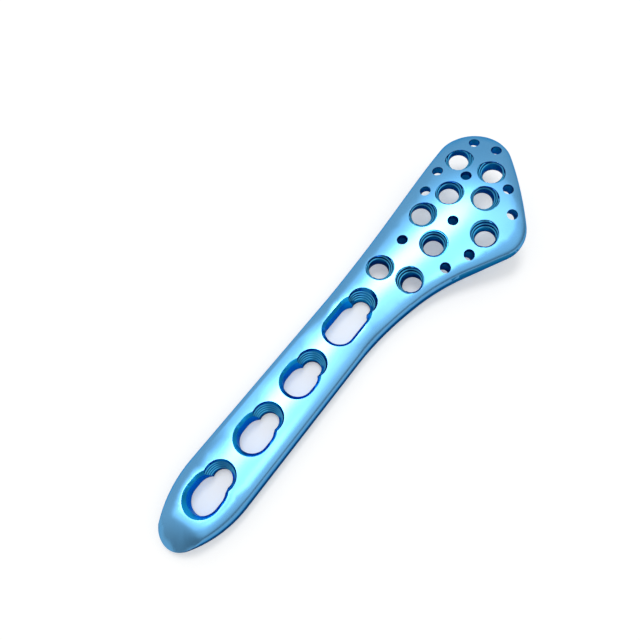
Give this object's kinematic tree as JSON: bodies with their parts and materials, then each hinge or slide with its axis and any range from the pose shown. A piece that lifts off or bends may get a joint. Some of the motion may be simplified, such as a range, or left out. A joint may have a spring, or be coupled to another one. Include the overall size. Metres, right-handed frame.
{
  "type": "orthopedic bone plate",
  "caption": "Slim shaft with round-and-slot combination holes that widens, bends and rises into a one-sided head with leaning threaded holes and small wire holes.",
  "frame": {"origin": "under the middle of the plate's box, on the plane that the bone side of the shaft rests on", "axes": "+X along the shaft to the tip of the head, +Y to the straight side of the head, +Z away from the bone"},
  "size_m": [0.097, 0.0246, 0.0107],
  "materials": {
    "anodised_titanium": "satin"
  },
  "bodies": {
    "root": {"bone_plate": "anodised_titanium"}
  },
  "joints": []
}
